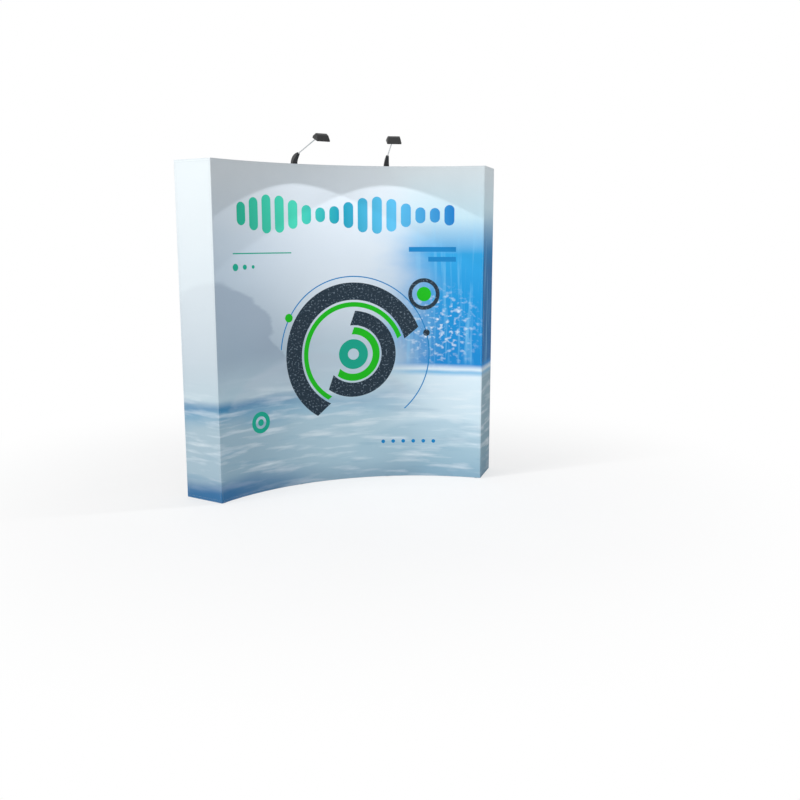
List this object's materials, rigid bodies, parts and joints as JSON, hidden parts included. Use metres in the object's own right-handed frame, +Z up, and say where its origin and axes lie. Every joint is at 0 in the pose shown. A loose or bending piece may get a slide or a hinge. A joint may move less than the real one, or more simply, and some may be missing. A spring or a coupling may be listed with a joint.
{
  "type": "curved pop-up display",
  "caption": "Free-standing curved display wall: a folding scissor lattice holds a taut fabric graphic on its concave face, and two clamp-on lamps light it from the top edge.",
  "frame": {"origin": "middle of the footprint, on the floor", "axes": "+X across the wall to the right as seen from the front, +Y from the concave front to the back, +Z up"},
  "size_m": [2.2964, 0.7112, 2.423],
  "materials": {
    "printed_fabric": "satin knit polyester, dye printed",
    "bar_aluminium": "satin anodised",
    "hub_nylon": "moulded",
    "zinc_steel": "zinc plated",
    "rod_steel": "satin",
    "lamp_plastic": "fine moulded grain",
    "lens_plastic": "frosted"
  },
  "bodies": {
    "frame": {"graphic_front_panel": "printed_fabric", "graphic_left_end": "printed_fabric", "graphic_right_end": "printed_fabric", "column_1_hubs_and_bars": "bar_aluminium", "column_2_hubs_and_bars": "bar_aluminium", "column_3_hubs_and_bars": "bar_aluminium", "column_4_hubs_and_bars": "bar_aluminium", "rear_hub_c1_r1": "hub_nylon", "rear_hub_c1_r2": "hub_nylon", "rear_hub_c1_r3": "hub_nylon", "rear_hub_c1_r4": "hub_nylon", "rear_hub_c2_r1": "hub_nylon", "rear_hub_c2_r2": "hub_nylon", "rear_hub_c2_r3": "hub_nylon", "rear_hub_c2_r4": "hub_nylon", "rear_hub_c3_r1": "hub_nylon", "rear_hub_c3_r2": "hub_nylon", "rear_hub_c3_r3": "hub_nylon", "rear_hub_c3_r4": "hub_nylon", "rear_hub_c4_r1": "hub_nylon", "rear_hub_c4_r2": "hub_nylon", "rear_hub_c4_r3": "hub_nylon", "rear_hub_c4_r4": "hub_nylon", "horizontal_pair_b1_r1": "bar_aluminium", "horizontal_pair_b1_r2": "bar_aluminium", "horizontal_pair_b1_r3": "bar_aluminium", "horizontal_pair_b1_r4": "bar_aluminium", "horizontal_pair_b2_r1": "bar_aluminium", "horizontal_pair_b2_r2": "bar_aluminium", "horizontal_pair_b2_r3": "bar_aluminium", "horizontal_pair_b2_r4": "bar_aluminium", "horizontal_pair_b3_r1": "bar_aluminium", "horizontal_pair_b3_r2": "bar_aluminium", "horizontal_pair_b3_r3": "bar_aluminium", "horizontal_pair_b3_r4": "bar_aluminium", "left_lamp_clamp_body": "lamp_plastic", "right_lamp_clamp_body": "lamp_plastic"},
    "lock_hook_c2_r2_body": {"lock_hook_c2_r2": "zinc_steel"},
    "lock_hook_c2_r3_body": {"lock_hook_c2_r3": "zinc_steel"},
    "lock_hook_c3_r2_body": {"lock_hook_c3_r2": "zinc_steel"},
    "lock_hook_c3_r3_body": {"lock_hook_c3_r3": "zinc_steel"},
    "left_jaw": {"left_lamp_clamp_jaw": "zinc_steel"},
    "left_screw": {"left_lamp_clamp_screw": "lamp_plastic"},
    "left_arm": {"left_lamp_arm_base": "lamp_plastic", "left_lamp_arm_rod": "rod_steel"},
    "left_head": {"left_lamp_head_housing": "lamp_plastic", "left_lamp_head_lens": "lens_plastic", "left_lamp_head_hinge_pin": "zinc_steel"},
    "right_jaw": {"right_lamp_clamp_jaw": "zinc_steel"},
    "right_screw": {"right_lamp_clamp_screw": "lamp_plastic"},
    "right_arm": {"right_lamp_arm_base": "lamp_plastic", "right_lamp_arm_rod": "rod_steel"},
    "right_head": {"right_lamp_head_housing": "lamp_plastic", "right_lamp_head_lens": "lens_plastic", "right_lamp_head_hinge_pin": "zinc_steel"}
  },
  "joints": [
    {"name": "lock_hook_c2_r2_swing", "type": "hinge", "parent": "frame", "child": "lock_hook_c2_r2_body", "pos_m": [-0.36109, 0.23969, 0.76667], "axis": [-0.9768, -0.2143, 0], "range_deg": [0, 60]},
    {"name": "lock_hook_c2_r3_swing", "type": "hinge", "parent": "frame", "child": "lock_hook_c2_r3_body", "pos_m": [-0.36109, 0.23969, 1.49333], "axis": [-0.9768, -0.2143, 0], "range_deg": [0, 60]},
    {"name": "lock_hook_c3_r2_swing", "type": "hinge", "parent": "frame", "child": "lock_hook_c3_r2_body", "pos_m": [0.37926, 0.2357, 0.76667], "axis": [-0.9768, 0.2143, 0], "range_deg": [0, 60]},
    {"name": "lock_hook_c3_r3_swing", "type": "hinge", "parent": "frame", "child": "lock_hook_c3_r3_body", "pos_m": [0.37926, 0.2357, 1.49333], "axis": [-0.9768, 0.2143, 0], "range_deg": [0, 60]},
    {"name": "left_clamp_screw_turn", "type": "hinge", "parent": "frame", "child": "left_screw", "pos_m": [-0.33246, 0.06579, 2.244], "axis": [0.2143, -0.9768, 0], "range_deg": [0, 1920]},
    {"name": "left_clamp_jaw_slide", "type": "slide", "parent": "frame", "child": "left_jaw", "axis": [-0.2143, 0.9768, 0], "range_m": [0, 0.008]},
    {"name": "left_arm_swivel", "type": "hinge", "parent": "frame", "child": "left_arm", "pos_m": [-0.33503, 0.07751, 2.2623], "axis": [0, 0, 1], "range_deg": [-90, 90]},
    {"name": "left_head_tilt", "type": "hinge", "parent": "left_arm", "child": "left_head", "pos_m": [-0.25763, -0.27525, 2.40964], "axis": [-0.9768, -0.2143, 0], "range_deg": [-45, 60]},
    {"name": "right_clamp_screw_turn", "type": "hinge", "parent": "frame", "child": "right_screw", "pos_m": [0.33246, 0.06579, 2.244], "axis": [-0.2143, -0.9768, 0], "range_deg": [0, 1920]},
    {"name": "right_clamp_jaw_slide", "type": "slide", "parent": "frame", "child": "right_jaw", "axis": [0.2143, 0.9768, 0], "range_m": [0, 0.008]},
    {"name": "right_arm_swivel", "type": "hinge", "parent": "frame", "child": "right_arm", "pos_m": [0.33503, 0.07751, 2.2623], "axis": [0, 0, 1], "range_deg": [-90, 90]},
    {"name": "right_head_tilt", "type": "hinge", "parent": "right_arm", "child": "right_head", "pos_m": [0.25763, -0.27525, 2.40964], "axis": [-0.9768, 0.2143, 0], "range_deg": [-45, 60]}
  ],
  "couplings": [
    {"joint": "left_clamp_screw_turn", "follows": "left_clamp_jaw_slide", "rad_per_m": 4188.8},
    {"joint": "right_clamp_screw_turn", "follows": "right_clamp_jaw_slide", "rad_per_m": 4188.8}
  ]
}
